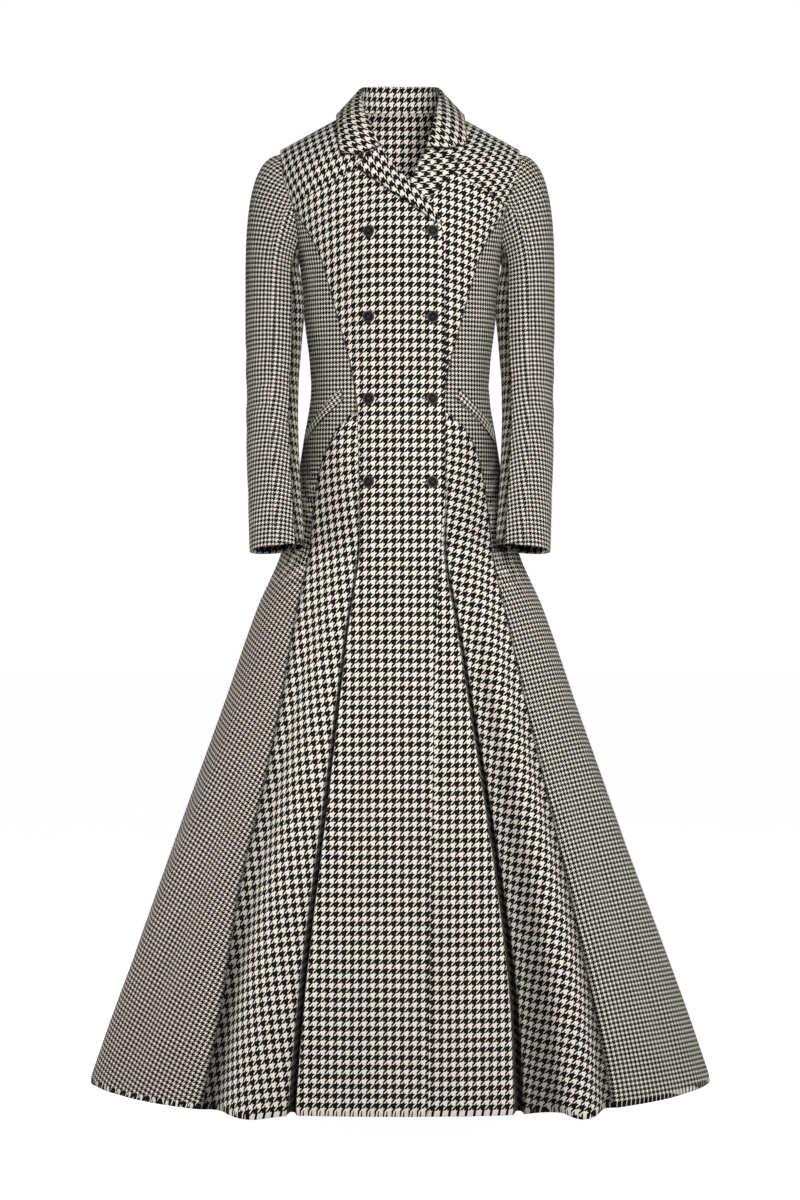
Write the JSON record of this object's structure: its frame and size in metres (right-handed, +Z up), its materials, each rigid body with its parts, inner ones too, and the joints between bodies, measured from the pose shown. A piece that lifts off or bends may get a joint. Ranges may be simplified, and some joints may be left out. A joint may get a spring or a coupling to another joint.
{
  "type": "double-breasted long coat",
  "caption": "Floor-length wool coat in black and cream houndstooth, double-breasted with a notched collar, fitted to the waist above a wide flared skirt.",
  "frame": {"origin": "between the two neck points on the shoulders, where the wearer's neck goes through", "axes": "+Z up along the wearer, +X towards the wearer's left, front towards -Y"},
  "size_m": [0.9301, 0.7319, 1.5307],
  "materials": {
    "large_check": "matte wool coating, large houndstooth in black and cream",
    "small_check": "matte wool coating, small houndstooth in black and cream",
    "button": "soft gloss"
  },
  "bodies": {
    "root": {"front_right": "large_check", "front_left": "large_check", "gore_right": "large_check", "gore_left": "large_check", "side_right": "small_check", "side_left": "small_check", "sleeve_top_right": "small_check", "sleeve_top_left": "small_check", "sleeve_under_right": "large_check", "sleeve_under_left": "large_check", "lapel_right": "large_check", "lapel_left": "large_check", "welt_right": "small_check", "welt_left": "small_check", "back": "large_check", "collar": "large_check", "button_right_1": "button", "button_right_2": "button", "button_right_3": "button", "button_right_4": "button", "button_left_1": "button", "button_left_2": "button", "button_left_3": "button", "button_left_4": "button", "yoke_right": "large_check", "yoke_left": "large_check"}
  },
  "joints": []
}
